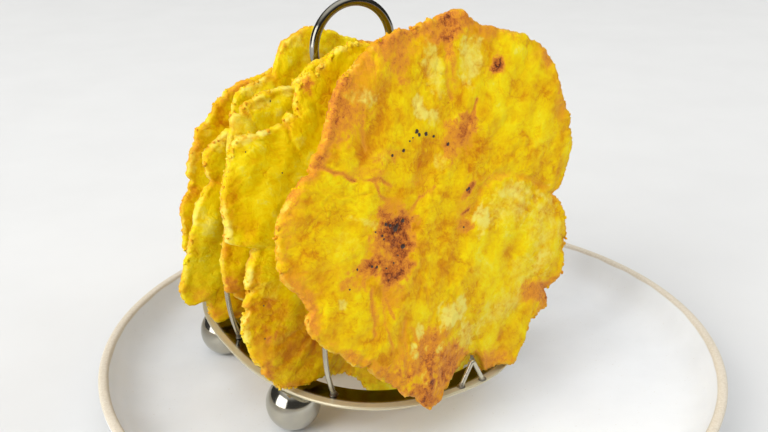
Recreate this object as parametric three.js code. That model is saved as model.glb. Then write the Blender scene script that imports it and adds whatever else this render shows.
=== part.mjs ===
// Five tostones, flattened and fried plantain slices, standing in a steel rack on a low-rimmed plate.
// Millimetres, +Z up. The origin is the centre of the plate's underside, on the table.
// +X runs across the slices and +Y runs along the row, from the front slice to the back one.
import * as THREE from 'three';

const GAP = 0.3;                       // clearance between pieces that touch

// Plate: a shallow stoneware plate with an upright rim and a bare clay lip.
const PLATE_RADIUS = 115;
const PLATE_HEIGHT = 20;
const PLATE_FLOOR = 6;                 // top of the floor
const LIP_WIDTH = 3.7;
const PLATE_STEPS = 64;

// Rack: an oval band on four ball feet, five wire hoops and a ring to lift it by.
const RACK_CENTRE = [-14.1, 19.1];     // middle of the oval band, on the plate
const BAND_HALF_WIDTH = 52.5;          // outer edge, across the slices
const BAND_HALF_LENGTH = 68;           // outer edge, along the row
const BAND_POWER = 2.42;               // 2 would be an ellipse
const BAND_WIDTH = 10;
const BAND_THICKNESS = 1.4;
const BAND_STEPS = 64;
const FOOT_RADIUS = 9.5;
const FOOT_X = 41.2;
const FOOT_Y = 29.7;
const ROW_MIDDLE = [5.7, 2.8];         // middle of the row of slices, from the band's middle
const HOOPS = 5;
const HOOP_PITCH = 25.5;
const HOOP_INSET = 6;                  // across, from the band's outer edge to a hoop's foot
const HOOP_WIRE = 0.9;                 // wire radius
const HOOP_SPREAD = 22;                // degrees round from a hoop's widest place to where it ends
const HOOP_RISE = 1.2;                 // a hoop is an upright oval, taller than it is wide
const RING_RADIUS = 15.35;             // of the lifting ring, to the middle of its rod
const RING_ROD = 1.65;
const RING_SIDESTEP = 3.1;             // the lifting ring is soldered a little off the middle line
const STOP_WIRE = 0.8;
const STOP_HEIGHT = 9;
const STOP_HALF_WIDTH = 4.5;
const STOP_TIP = 0.6;                  // half width of the bend at its point
const STOP_SIDESTEP = 7.6;             // the pointed stops stand beside the middle line
const STOP_FROM_EDGE = 1.8;
const WIRE_SIDES = 6;
const HOOP_STEPS = 30;
const STOP_STEPS = 12;
const RING_SIDES = 8;
const RING_STEPS = 36;
const FOOT_STEPS = 8;                  // from a ball's bottom to its top
const FOOT_SIDES = 12;

const FOOT_TOP = PLATE_FLOOR + GAP + 2 * FOOT_RADIUS;
const BAND_BOTTOM = FOOT_TOP + GAP;
const BAND_TOP = BAND_BOTTOM + BAND_THICKNESS;

const STEEL = { color: 0x8d8c86, roughness: 0.22, metalness: 1 };
const STONEWARE = { color: 0xe4e2dc, roughness: 0.4, metalness: 0 };
const FRIED = { color: 0xe6b21c, roughness: 0.55, metalness: 0 };

// Each slice is a slab that stands at row (mm along the row from its middle, at the height of the
// band) and leans back. Its outline is a smooth closed line through corners [across, up]: across
// from the middle of the row, up along the slab from the top of the band. bend holds the slow waves
// of the slab: [depth, waves across, waves up, phase]. curl holds local dents: [across, up, size, depth].
const SLICES = [
  {
    name: 'tostone_1', row: -71.6, lean: 13.4, turn: 4, thickness: 6.4, ragged: 0.5, seed: 1,
    heart: [-4, 60],
    corners: [
      [8, 122.5], [-2, 120], [-18, 117.5], [-29, 111], [-37, 104], [-42, 94], [-57, 77], [-63, 68],
      [-63, 55], [-57, 44], [-59, 39], [-55, 32], [-41, 20], [-29, 8], [-24, 4], [-19, -1.5],
      [-12, 0.6], [-8, 4.5], [2.5, 10], [6.5, 8], [9, 2], [15, 1.6], [21.8, 0.6], [25.3, 5.5],
      [29.5, 13], [37.5, 17.5], [39, 23], [45.5, 27], [48.5, 38], [49, 49], [47, 56], [56, 74],
      [52, 94], [50, 103], [43, 110], [32, 113.5], [20, 118], [14, 123],
    ],
    bend: [[0.9, 0.045, 0.02, 0.4], [0.6, -0.03, 0.06, 2.1]],
    curl: [[9, 8, 15, 3.2], [-18, -2, 9, -0.6]],
  },
  {
    name: 'tostone_2', row: -41, lean: 7, turn: 1, thickness: 6.6, ragged: 0.5, seed: 2,
    heart: [-9, 46],
    corners: [
      [-10, 110], [-23, 110], [-32, 104], [-38, 101], [-42, 92], [-50, 88], [-61, 86], [-66, 76],
      [-69, 64], [-69, 56], [-62, 52], [-64, 44], [-67, 28], [-66, 18], [-62, 8], [-56, 2], [-48, 1.2],
      [-36, 1], [-28, -4], [-18, -15], [-6, -19], [10, -19], [20, -14], [26, -4], [30.5, 2], [42, 10],
      [49, 22],
      [52, 42], [50, 64], [42, 84], [28, 100], [10, 108],
    ],
    bend: [[0.9, 0.05, 0.03, 1.3], [0.6, -0.02, 0.07, 0.2]],
    curl: [[-58, 12, 16, -1.2], [-62, 80, 14, 1.0]],
  },
  {
    name: 'tostone_3', row: -13, lean: 4, turn: -1, thickness: 6.2, ragged: 0.6, seed: 3,
    heart: [-5, 42],
    corners: [
      [-8, 102], [-22, 99], [-31, 93], [-42, 91], [-52, 86], [-54, 78], [-55, 66], [-60, 43], [-62, 34],
      [-60, 24], [-51, 19], [-47, 9], [-42, -3], [-31, -15], [-16, -19], [4, -19], [20, -15],
      [31, -7], [37.5, 3], [45, 9], [53, 24], [55, 42], [52, 62], [44, 80], [29, 94], [10, 101],
    ],
    bend: [[1.2, 0.055, 0.02, 2.2], [0.7, 0.03, -0.06, 1.1]],
    curl: [[-56, 34, 12, -1.4], [-48, 78, 12, -1.0]],
  },
  {
    name: 'tostone_4', row: 13, lean: 4.5, turn: 1, thickness: 6.4, ragged: 0.6, seed: 4,
    heart: [-8, 42],
    corners: [
      [10, 99.5], [0, 103.5], [-12, 105], [-19, 101], [-25, 92], [-40, 85], [-44, 75], [-55, 66],
      [-55, 56], [-61, 47], [-65, 32], [-68, 16], [-65, 10], [-60, 10], [-57, 2], [-49, 1.2],
      [-43.5, -2], [-34, -14], [-16, -19.5], [5, -19.5], [20, -15], [31, -7], [37, 3], [45, 10],
      [51, 24],
      [51, 45], [46, 66], [36, 84], [23, 95],
    ],
    bend: [[1.4, 0.06, 0.02, 0.9], [0.7, -0.02, 0.06, 0.6]],
    curl: [[-58, 40, 12, -1.8], [-60, 18, 12, 1.0]],
  },
  {
    name: 'tostone_5', row: 38, lean: 4.5, turn: 0, thickness: 6.2, ragged: 0.6, seed: 5,
    heart: [-2, 36],
    corners: [
      [-10, 86], [-26, 83], [-34, 80], [-41, 71], [-49, 63], [-53, 52], [-52, 45], [-56, 37], [-56, 20],
      [-51, 9], [-44, 3], [-35, 0.6], [-30, -6], [-22, -15], [-8, -19], [8, -18], [17, -11],
      [23, -3], [30, 3], [45, 11], [53, 24], [55, 42], [50, 62], [40, 76], [24, 84], [6, 88],
    ],
    bend: [[1.3, 0.055, 0.03, 3.0], [0.6, 0.02, 0.06, 1.9]],
    curl: [[-48, 50, 12, -1.4]],
  },
];
const STEPS_PER_CORNER = 2;
const SLICE_RINGS = [0.28, 0.52, 0.74, 0.89, 0.975];  // shares of the way from the heart to the rim
const RIM_THINNING = 0.35;             // share of its thickness that a slice loses towards its rim
const RAGGED_WAVES = [7, 11, 17, 23];  // waves round the rim
const COARSE_CRAG = 0.35;
const FINE_CRAG = 0.2;

const radians = THREE.MathUtils.degToRad;

// A closed body from points [x, y, z] and triangles of point numbers, faces pointing out.
function solid(points, triangles) {
  const geometry = new THREE.BufferGeometry();
  geometry.setAttribute('position', new THREE.Float32BufferAttribute(points.flat(), 3));
  geometry.setIndex(triangles.flat());
  geometry.computeVertexNormals();
  return geometry;
}

function piece(name, geometry, look) {
  const mesh = new THREE.Mesh(geometry, new THREE.MeshStandardMaterial(look));
  mesh.name = name;
  return mesh;
}

function circleShape(radius, sides) {
  const corners = [];
  for (let i = 0; i < sides; i += 1) {
    const turn = (2 * Math.PI * i) / sides;
    corners.push(new THREE.Vector2(radius * Math.cos(turn), radius * Math.sin(turn)));
  }
  return new THREE.Shape(corners);
}

function wire(curve, radius, steps) {
  return new THREE.ExtrudeGeometry(circleShape(radius, WIRE_SIDES), { extrudePath: curve, steps });
}

// Plate: a turned profile of radius and height, standing on a foot ring.
function plateGeometry() {
  const lipInner = PLATE_RADIUS - LIP_WIDTH;
  const profile = [
    [0, 1.6], [66, 1.6], [68, 0], [77, 0], [79, 1.2], [100, 4.4], [110, 9.5], [114, 15],
    [PLATE_RADIUS, PLATE_HEIGHT - 0.9], [PLATE_RADIUS - 1, PLATE_HEIGHT],
    [lipInner + 0.7, PLATE_HEIGHT], [lipInner, PLATE_HEIGHT - 0.8], [109.4, 13.5], [105.6, 9],
    [99, PLATE_FLOOR + 0.5], [90, PLATE_FLOOR], [0, PLATE_FLOOR],
  ];
  const lathe = new THREE.LatheGeometry(profile.map(([r, z]) => new THREE.Vector2(r, z)), PLATE_STEPS);
  return lathe.rotateX(Math.PI / 2);
}

// Point of the rack's oval, drawn in from its outer edge by inset, at an angle from +X.
function ovalPoint(angle, inset) {
  const across = Math.cos(angle);
  const along = Math.sin(angle);
  const width = BAND_HALF_WIDTH - inset;
  const length = BAND_HALF_LENGTH - inset;
  const sum = Math.abs(across / width) ** BAND_POWER + Math.abs(along / length) ** BAND_POWER;
  const reach = sum ** (-1 / BAND_POWER);
  return new THREE.Vector2(reach * across, reach * along);
}

function ovalLine(inset) {
  const line = [];
  for (let i = 0; i < BAND_STEPS; i += 1) {
    line.push(ovalPoint((2 * Math.PI * i) / BAND_STEPS, inset));
  }
  return line;
}

// Half the width of the oval's outer edge at a place along it.
function ovalHalfWidth(along) {
  const share = (Math.abs(along) / BAND_HALF_LENGTH) ** BAND_POWER;
  return BAND_HALF_WIDTH * (1 - share) ** (1 / BAND_POWER);
}

function bandGeometry() {
  const shape = new THREE.Shape(ovalLine(0));
  shape.holes.push(new THREE.Path(ovalLine(BAND_WIDTH)));
  const band = new THREE.ExtrudeGeometry(shape, { depth: BAND_THICKNESS, bevelEnabled: false });
  return band.translate(0, 0, BAND_BOTTOM);
}

function footGeometry() {
  const profile = [];
  for (let i = 0; i <= FOOT_STEPS; i += 1) {
    const turn = Math.PI * (i / FOOT_STEPS - 0.5);
    const radius = i === 0 || i === FOOT_STEPS ? 0 : FOOT_RADIUS * Math.cos(turn);
    profile.push(new THREE.Vector2(radius, FOOT_RADIUS * Math.sin(turn)));
  }
  return new THREE.LatheGeometry(profile, FOOT_SIDES).rotateX(Math.PI / 2);
}

// A hoop is the part of an upright oval above the band, wider than the chord between its feet.
class HoopCurve extends THREE.Curve {
  constructor(footX, footZ) {
    super();
    const spread = radians(HOOP_SPREAD);
    this.halfWidth = footX / Math.cos(spread);
    this.halfHeight = HOOP_RISE * this.halfWidth;
    this.centreZ = footZ + this.halfHeight * Math.sin(spread);
    this.start = -spread;
    this.sweep = Math.PI + 2 * spread;
  }

  getPoint(t, target = new THREE.Vector3()) {
    const angle = this.start + this.sweep * t;
    const height = this.centreZ + this.halfHeight * Math.sin(angle);
    return target.set(this.halfWidth * Math.cos(angle), 0, height);
  }
}

// Hoops stand in line with the slices. along is measured from the middle of the row.
function hoopCurve(along) {
  const footX = ovalHalfWidth(along + ROW_MIDDLE[1]) - HOOP_INSET;
  const tilt = HOOP_WIRE * Math.sin(radians(HOOP_SPREAD));
  return new HoopCurve(footX, BAND_TOP + GAP + tilt);
}

// The lifting ring stands on the middle hoop, in its plane.
function liftingRing() {
  const middle = hoopCurve(0);
  const hoopTop = middle.centreZ + middle.halfHeight + HOOP_WIRE;
  const torus = new THREE.TorusGeometry(RING_RADIUS, RING_ROD, RING_SIDES, RING_STEPS);
  const height = hoopTop + GAP + RING_ROD + RING_RADIUS;
  return torus.rotateX(Math.PI / 2).translate(RING_SIDESTEP, ROW_MIDDLE[1], height);
}

function stopGeometry() {
  const foot = BAND_TOP + GAP + STOP_WIRE / 2;
  const peak = foot + STOP_HEIGHT;
  const line = new THREE.CurvePath();
  const left = new THREE.Vector3(-STOP_HALF_WIDTH, 0, foot);
  const right = new THREE.Vector3(STOP_HALF_WIDTH, 0, foot);
  const leftShoulder = new THREE.Vector3(-STOP_TIP, 0, peak - 2 * STOP_TIP);
  const rightShoulder = new THREE.Vector3(STOP_TIP, 0, peak - 2 * STOP_TIP);
  line.add(new THREE.LineCurve3(left, leftShoulder));
  line.add(new THREE.QuadraticBezierCurve3(leftShoulder, new THREE.Vector3(0, 0, peak), rightShoulder));
  line.add(new THREE.LineCurve3(rightShoulder, right));
  return wire(line, STOP_WIRE, STOP_STEPS);
}

// Fine raggedness of a slice's rim, a sum of waves whose phases depend on the slice.
function ragged(slice, turn) {
  let sum = 0;
  for (const waves of RAGGED_WAVES) {
    sum += Math.sin(waves * turn + slice.seed * waves * 1.7) / Math.sqrt(waves);
  }
  return slice.ragged * sum;
}

// How far the slab's middle stands back from its flat plane.
function slabBend(slice, across, up) {
  let depth = 0;
  for (const [height, wavesAcross, wavesUp, phase] of slice.bend) {
    depth += height * Math.sin(wavesAcross * across + wavesUp * up + phase);
  }
  for (const [centreAcross, centreUp, size, height] of slice.curl) {
    const distance = Math.hypot(across - centreAcross, up - centreUp) / size;
    depth += height * Math.exp(-distance * distance);
  }
  return depth;
}

// Crags of one face of the slab. side is -1 for the front and 1 for the back.
function crags(slice, across, up, side) {
  const phase = slice.seed * 1.3 + side;
  const coarse = Math.sin(across * 0.21 + phase) * Math.sin(up * 0.19 - phase);
  const fine = Math.sin(across * 0.47 - up * 0.31 + phase * 2);
  return COARSE_CRAG * coarse + FINE_CRAG * fine;
}

function rimLine(slice) {
  const corners = slice.corners.map(([across, up]) => new THREE.Vector3(across, up, 0));
  const curve = new THREE.CatmullRomCurve3(corners, true, 'centripetal');
  const steps = corners.length * STEPS_PER_CORNER;
  return curve.getPoints(steps).slice(0, steps).map((point, i) => {
    const [heartAcross, heartUp] = slice.heart;
    const reach = Math.hypot(point.x - heartAcross, point.y - heartUp);
    const grown = 1 + ragged(slice, (2 * Math.PI * i) / steps) / reach;
    return [heartAcross + (point.x - heartAcross) * grown, heartUp + (point.y - heartUp) * grown];
  });
}

function sliceGeometry(slice) {
  const rim = rimLine(slice);
  const steps = rim.length;
  const [heartAcross, heartUp] = slice.heart;
  const points = [];
  const triangles = [];

  // A point of the slab at a share of the way from the heart to the rim.
  const addPoint = (corner, share, side) => {
    const across = heartAcross + (corner[0] - heartAcross) * share;
    const up = heartUp + (corner[1] - heartUp) * share;
    const half = (slice.thickness / 2) * (1 - RIM_THINNING * share ** 3);
    const height = side * (half + crags(slice, across, up, side));
    points.push([across, slabBend(slice, across, up) + height, up]);
    return points.length - 1;
  };
  const addFace = (side) => {
    const centre = addPoint(rim[0], 0, side);
    const rings = SLICE_RINGS.map((share) => rim.map((corner) => addPoint(corner, share, side)));
    const flip = (a, b, c) => triangles.push(side < 0 ? [a, b, c] : [a, c, b]);
    for (let i = 0; i < steps; i += 1) {
      const next = (i + 1) % steps;
      flip(centre, rings[0][i], rings[0][next]);
      for (let ring = 1; ring < rings.length; ring += 1) {
        const inner = rings[ring - 1];
        const outer = rings[ring];
        flip(inner[i], outer[i], outer[next]);
        flip(inner[i], outer[next], inner[next]);
      }
    }
    return rings[rings.length - 1];
  };

  const front = addFace(-1);
  const back = addFace(1);
  const edge = rim.map((corner) => addPoint(corner, 1, 0));
  for (let i = 0; i < steps; i += 1) {
    const next = (i + 1) % steps;
    triangles.push([back[i], edge[next], edge[i]], [back[i], back[next], edge[next]]);
    triangles.push([edge[i], front[next], front[i]], [edge[i], edge[next], front[next]]);
  }
  return solid(points, triangles);
}

function addRack(rack) {
  rack.add(piece('rack_band', bandGeometry(), STEEL));
  const corners = [[-1, -1], [1, -1], [-1, 1], [1, 1]];
  corners.forEach(([sideX, sideY], i) => {
    const foot = piece(`rack_foot_${i + 1}`, footGeometry(), STEEL);
    foot.position.set(sideX * FOOT_X, sideY * FOOT_Y, FOOT_TOP - FOOT_RADIUS);
    rack.add(foot);
  });
  for (let i = 0; i < HOOPS; i += 1) {
    const along = (i - (HOOPS - 1) / 2) * HOOP_PITCH;
    const hoop = piece(`rack_hoop_${i + 1}`, wire(hoopCurve(along), HOOP_WIRE, HOOP_STEPS), STEEL);
    hoop.position.y = ROW_MIDDLE[1] + along;
    rack.add(hoop);
  }
  rack.add(piece('rack_ring', liftingRing(), STEEL));
  for (const [name, side] of [['rack_stop_front', -1], ['rack_stop_back', 1]]) {
    const stop = piece(name, stopGeometry(), STEEL);
    stop.position.set(-side * STOP_SIDESTEP, side * (BAND_HALF_LENGTH - STOP_FROM_EDGE), 0);
    rack.add(stop);
  }
}

function addSlices(rack) {
  for (const slice of SLICES) {
    const tostone = piece(slice.name, sliceGeometry(slice), FRIED);
    tostone.rotation.order = 'ZXY';
    tostone.rotation.set(-radians(slice.lean), 0, radians(slice.turn));
    tostone.position.set(ROW_MIDDLE[0], ROW_MIDDLE[1] + slice.row, BAND_TOP + GAP);
    rack.add(tostone);
  }
}

const object = new THREE.Group();
object.add(piece('plate', plateGeometry(), STONEWARE));
const rack = new THREE.Group();
rack.position.set(RACK_CENTRE[0], RACK_CENTRE[1], 0);
addRack(rack);
addSlices(rack);
object.add(rack);
object.updateMatrixWorld(true);

export default object;
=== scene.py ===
import math
from itertools import product

import bpy
import numpy as np
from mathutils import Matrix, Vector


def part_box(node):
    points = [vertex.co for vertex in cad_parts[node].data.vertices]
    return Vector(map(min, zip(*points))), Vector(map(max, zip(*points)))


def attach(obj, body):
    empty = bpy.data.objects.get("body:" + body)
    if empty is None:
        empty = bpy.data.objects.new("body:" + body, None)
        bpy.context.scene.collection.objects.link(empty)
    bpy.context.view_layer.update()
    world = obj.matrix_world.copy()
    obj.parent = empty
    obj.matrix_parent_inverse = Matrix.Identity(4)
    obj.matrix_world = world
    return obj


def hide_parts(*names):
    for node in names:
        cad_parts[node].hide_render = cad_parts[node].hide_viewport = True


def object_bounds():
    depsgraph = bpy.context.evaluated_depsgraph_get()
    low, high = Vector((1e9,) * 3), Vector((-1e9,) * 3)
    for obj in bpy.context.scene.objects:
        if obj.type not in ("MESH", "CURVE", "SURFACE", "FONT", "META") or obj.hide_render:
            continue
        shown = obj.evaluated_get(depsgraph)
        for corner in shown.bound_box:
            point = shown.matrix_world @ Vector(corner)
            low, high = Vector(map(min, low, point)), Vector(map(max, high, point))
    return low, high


# Five tostones in a steel rack on a small stoneware plate. Lengths below are in millimetres, in the
# frame of the CAD part, and become metres when a mesh is made. +X runs across the slices and +Y along
# the row, from the front slice to the back one.
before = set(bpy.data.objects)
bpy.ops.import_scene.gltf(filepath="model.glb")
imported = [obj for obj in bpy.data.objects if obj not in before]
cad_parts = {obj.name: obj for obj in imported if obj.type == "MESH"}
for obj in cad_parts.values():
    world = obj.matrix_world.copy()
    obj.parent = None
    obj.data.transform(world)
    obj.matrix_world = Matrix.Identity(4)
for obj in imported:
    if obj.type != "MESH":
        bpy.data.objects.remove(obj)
cad_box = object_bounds()

MM = 0.001
GAP = 0.3                              # what the CAD pieces leave between themselves


# ---------------------------------------------------------------- numbers and noise

def node_box(node):
    """The lowest and highest corner of a CAD node, in millimetres."""
    low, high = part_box(node)
    return np.array(low) / MM, np.array(high) / MM


def smooth(value, start, end):
    """0 before start, 1 after end, and a soft step between them."""
    share = np.clip((np.asarray(value, float) - start) / (end - start), 0, 1)
    return share * share * (3 - 2 * share)


DIRECTIONS = np.random.default_rng(11).normal(size=(256, 3))
DIRECTIONS /= np.linalg.norm(DIRECTIONS, axis=1)[:, None]
HASH = np.array([73856093, 19349663, 83492791])        # turns a cell of the noise into a number
HASH_MIX = 40503
SEED_STEP = 37.7                       # how far apart the noises of two seeds lie
NOISE_GAIN = 1.7                       # brings the noise to about -1 to 1


def noise(points, size, seed):
    """Gradient noise of about -1 to 1 at points of shape (n, 3), with lumps of the given size."""
    place = np.asarray(points, float) / size + SEED_STEP * seed
    cell = np.floor(place).astype(np.int64)
    part = place - cell
    ease = part ** 3 * (part * (part * 6 - 15) + 10)
    total = np.zeros(len(place))
    for corner in product((0, 1), repeat=3):
        key = (cell + corner) @ HASH
        key = (key ^ (key >> 9)) * HASH_MIX
        direction = DIRECTIONS[(key ^ (key >> 7)) & 255]
        weight = np.prod(np.where(corner, ease, 1 - ease), axis=1)
        total += weight * np.einsum("ij,ij->i", part - corner, direction)
    return NOISE_GAIN * total


def layers(points, seed, *heights_and_sizes):
    """Several noises added up, each given by its height and the size of its lumps."""
    return sum(height * noise(points, size, seed + i)
               for i, (height, size) in enumerate(heights_and_sizes))


def closed_curve(corners, count):
    """count points along the smooth closed line through corners, evenly by corner."""
    corners = np.asarray(corners, float)
    place = np.arange(count) / count * len(corners)
    start = place.astype(int)
    t = (place - start)[:, None]
    before, here, ahead, after = (corners[(start + i) % len(corners)] for i in (-1, 0, 1, 2))
    step_a, step_b, step_c = (np.sqrt(np.linalg.norm(q - p, axis=1))[:, None]
                              for p, q in ((before, here), (here, ahead), (ahead, after)))
    leave = (here - before) / step_a - (ahead - before) / (step_a + step_b) + (ahead - here) / step_b
    arrive = (ahead - here) / step_b - (after - here) / (step_b + step_c) + (after - ahead) / step_c
    return (here * (2 * t ** 3 - 3 * t ** 2 + 1) + leave * step_b * (t ** 3 - 2 * t ** 2 + t)
            + ahead * (3 * t ** 2 - 2 * t ** 3) + arrive * step_b * (t ** 3 - t ** 2))


# ---------------------------------------------------------------- meshes

def add_piece(name, points, faces, material, replaces, masks):
    """A mesh object that rides on the CAD body. masks are named values, one for each point."""
    mesh = bpy.data.meshes.new(name)
    mesh.from_pydata((np.asarray(points) * MM).tolist(), [], [list(face) for face in faces])
    mesh.shade_smooth()
    for mask, values in masks.items():
        values = np.asarray(values, np.float32)
        kind, field = ("FLOAT", "value") if values.ndim == 1 else ("FLOAT_VECTOR", "vector")
        mesh.attributes.new(mask, kind, "POINT").data.foreach_set(field, values.ravel())
    mesh.materials.append(material)
    piece = bpy.data.objects.new(name, mesh)
    bpy.context.collection.objects.link(piece)
    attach(piece, "root")
    if replaces:
        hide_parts(*replaces)


def join(parts):
    """One list of points, one of faces and one dictionary of masks out of several."""
    points, faces, masks = [], [], {}
    for part_points, part_faces, part_masks in parts:
        start = sum(len(p) for p in points)
        points.append(np.asarray(part_points, float))
        faces += [[start + i for i in face] for face in part_faces]
        for mask, values in part_masks.items():
            if np.ndim(values) == 0:
                values = np.full(len(part_points), float(values))
            masks.setdefault(mask, []).append(values)
    return np.concatenate(points), faces, {mask: np.concatenate(v) for mask, v in masks.items()}


def ring_faces(rings, sides, closed):
    """Quads between rings of points, each with that many sides. closed joins the last ring to the first."""
    faces = []
    for ring in range(rings if closed else rings - 1):
        a, b = ring * sides, (ring + 1) % rings * sides
        faces += [[a + i, a + (i + 1) % sides, b + (i + 1) % sides, b + i] for i in range(sides)]
    return faces


def tube_faces(rings, sides):
    """Quads between rings of points, and one face over each end."""
    ends = [list(range(sides))[::-1], [(rings - 1) * sides + i for i in range(sides)]]
    return ring_faces(rings, sides, False) + ends


def circle(sides):
    """Points of a circle of radius 1."""
    turn = np.linspace(0, 2 * np.pi, sides, endpoint=False)
    return np.stack([np.cos(turn), np.sin(turn)], 1)


def lathe(profile, sides, centre=(0.0, 0.0)):
    """Points of a round body about an upright line. profile has the reach and height of each ring."""
    return np.concatenate([np.column_stack([centre + reach * circle(sides), np.full(sides, height)])
                           for reach, height in profile])


def wire(line, radii, sides, closed=False):
    """A round wire along a line in an X-Z plane. radii has the wire's radius at each point."""
    line = np.asarray(line, float)
    ahead = np.roll(line, -1, 0) - np.roll(line, 1, 0) if closed else np.gradient(line, axis=0)
    ahead /= np.linalg.norm(ahead, axis=1)[:, None]
    along_row = np.array([0.0, 1.0, 0.0])
    aside = np.cross(ahead, along_row)
    ring = circle(sides)
    spoke = ring[:, :1] * along_row + ring[:, 1:] * aside[:, None]
    points = line[:, None] + spoke * np.asarray(radii, float)[:, None, None]
    faces = ring_faces(len(line), sides, True) if closed else tube_faces(len(line), sides)
    return points.reshape(-1, 3), faces


def lump(centre, sizes, seed, rough=0.12, rings=12, sides=18):
    """A small uneven ball, such as a weld or a crumb."""
    up = np.linspace(0, np.pi, rings + 2)[1:-1, None, None]
    ring = circle(sides)
    ball = np.concatenate([np.sin(up) * ring, np.cos(up) + 0 * ring[:, :1]], -1)
    ball = np.concatenate([ball.reshape(-1, 3), [[0, 0, 1], [0, 0, -1]]])
    ball *= 1 + rough * layers(ball, seed, (1, 0.8), (0.5, 0.4))[:, None]
    top, bottom, last = len(ball) - 2, len(ball) - 1, (rings - 1) * sides
    faces = [face[::-1] for face in ring_faces(rings, sides, False)]
    faces += [[i, (i + 1) % sides, top] for i in range(sides)]
    faces += [[last + (i + 1) % sides, last + i, bottom] for i in range(sides)]
    return ball * np.asarray(sizes, float) + np.asarray(centre, float), faces


# ---------------------------------------------------------------- materials

def colour(red, green, blue):
    """A colour of 0 to 255 as a screen shows it, for a shader's socket."""
    share = [value / 255 for value in (red, green, blue)]
    return (*[v / 12.92 if v <= 0.04045 else ((v + 0.055) / 1.055) ** 2.4 for v in share], 1.0)


class Shader:
    """A material's node tree, with short calls for the nodes that the materials here need."""

    def __init__(self, name, sockets):
        self.material = bpy.data.materials.new(name)
        self.material.use_nodes = True
        self.tree = self.material.node_tree
        self.surface = self.tree.nodes["Principled BSDF"]
        for socket, value in sockets.items():
            self.surface.inputs[socket].default_value = value
        scaled = self.node("ShaderNodeMapping", self.node("ShaderNodeTexCoord").outputs["Object"])
        scaled.inputs["Scale"].default_value = (1 / MM,) * 3
        self.place = scaled.outputs[0]

    def set(self, socket, source):
        if isinstance(source, bpy.types.NodeSocket):
            self.tree.links.new(source, socket)
        else:
            socket.default_value = source

    def use(self, socket, source):
        self.set(self.surface.inputs[socket], source)

    def node(self, kind, *sources, **settings):
        made = self.tree.nodes.new(kind)
        for name, value in settings.items():
            setattr(made, name, value)
        for socket, source in zip(made.inputs, sources):
            self.set(socket, source)
        return made

    def mask(self, name, output="Fac"):
        return self.node("ShaderNodeAttribute", attribute_name=name).outputs[output]

    def noise(self, size, detail=3.0, rough=0.55, distortion=0.0, place=None):
        """Noise of 0 to 1 with lumps of that size in millimetres."""
        made = self.node("ShaderNodeTexNoise", place or self.place)
        for socket, value in (("Scale", 1 / size), ("Detail", detail), ("Roughness", rough),
                              ("Distortion", distortion)):
            made.inputs[socket].default_value = value
        return made.outputs[0]

    def warped(self, size, reach):
        """The place, pushed about by noise of that size, up to reach in millimetres."""
        push = self.node("ShaderNodeTexNoise", self.place)
        push.inputs["Scale"].default_value = 1 / size
        return self.node("ShaderNodeVectorMath", push.outputs["Color"], (2 * reach,) * 3, self.place,
                         operation="MULTIPLY_ADD").outputs[0]

    def cells(self, size, feature, place):
        """Distance, in cell sizes, from the middle of a cell or from its border."""
        made = self.node("ShaderNodeTexVoronoi", place, feature=feature)
        made.inputs["Scale"].default_value = 1 / size
        return made.outputs["Distance"]

    def times(self, first, second):
        return self.node("ShaderNodeMath", first, second, operation="MULTIPLY").outputs[0]

    def plus(self, base, value, share=1.0):
        """base with a share of value added to it."""
        return self.node("ShaderNodeMath", value, share, base, operation="MULTIPLY_ADD").outputs[0]

    def around(self, value, middle, swing):
        """A 0 to 1 value made to swing about a middle."""
        return self.plus(middle - swing, value, 2 * swing)

    def step(self, value, start, end):
        """0 before start, 1 after end, and a soft step between them."""
        made = self.node("ShaderNodeMapRange", value, start, end, interpolation_type="SMOOTHSTEP")
        return made.outputs[0]

    def ramp(self, value, *stops):
        """Colours of 0 to 255 for a value, each after the place that it has on the ramp."""
        made = self.node("ShaderNodeValToRGB", value)
        elements = made.color_ramp.elements
        for i, (place, *shade) in enumerate(stops):
            element = elements[i] if i < 2 else elements.new(place)
            element.position = place
            element.color = colour(*shade)
        return made.outputs["Color"]

    def between(self, value, first, second):
        """From one colour to another in the middle of a noise's range."""
        return self.ramp(value, (0.3, *first), (0.7, *second))

    def mix(self, share, first, second):
        made = self.node("ShaderNodeMix", data_type="RGBA")
        for socket, source in ((made.inputs["Factor"], share), (made.inputs[6], first),
                               (made.inputs[7], second)):
            self.set(socket, source)
        return made.outputs[2]

    def bump(self, height, distance, strength=1.0):
        """Relief from a height of 0 to 1 that stands for distance in millimetres."""
        made = self.node("ShaderNodeBump")
        made.inputs["Strength"].default_value = strength
        made.inputs["Distance"].default_value = distance * MM
        self.set(made.inputs["Height"], height)
        self.use("Normal", made.outputs[0])


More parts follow.
